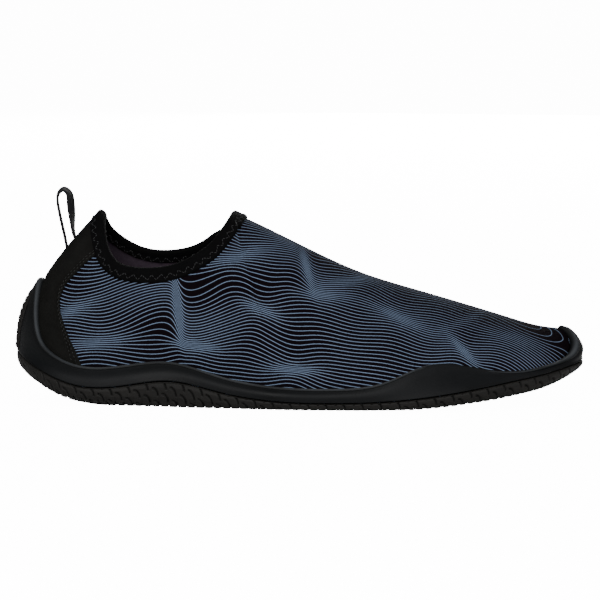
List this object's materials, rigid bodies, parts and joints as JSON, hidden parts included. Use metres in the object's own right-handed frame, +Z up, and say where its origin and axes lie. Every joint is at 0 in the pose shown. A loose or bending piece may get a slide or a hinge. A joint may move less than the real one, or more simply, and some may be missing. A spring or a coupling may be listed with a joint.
{
  "type": "water shoe",
  "caption": "Slip-on water shoe for the right foot: hollow stretch upper, bound collar, rubber side wall, curled lugged sole, footbed and heel pull loop.",
  "frame": {"origin": "middle of the box round the shoe, on the floor that the sole stands on", "axes": "+X to the toe, -Y to the outer side of the right foot, +Z up"},
  "size_m": [0.2802, 0.1006, 0.1069],
  "materials": {
    "tread_rubber": "matt black-brown moulded rubber with fine wavy tread",
    "rand_rubber": "satin charcoal rubber with a fine grain",
    "printed_fabric": "dark stretch knit printed with flowing pale blue lines",
    "heel_fabric": "matt black stretch fabric",
    "binding_fabric": "black folded edge tape with a zigzag seam",
    "webbing": "black woven webbing",
    "insole_foam": "dull purple-brown cloth over foam"
  },
  "bodies": {
    "root": {"outsole": "tread_rubber", "heel_tread": "tread_rubber", "rand": "rand_rubber", "upper": "printed_fabric", "heel_panel": "heel_fabric", "collar_binding": "binding_fabric", "pull_loop": "webbing", "insole": "insole_foam"}
  },
  "joints": []
}
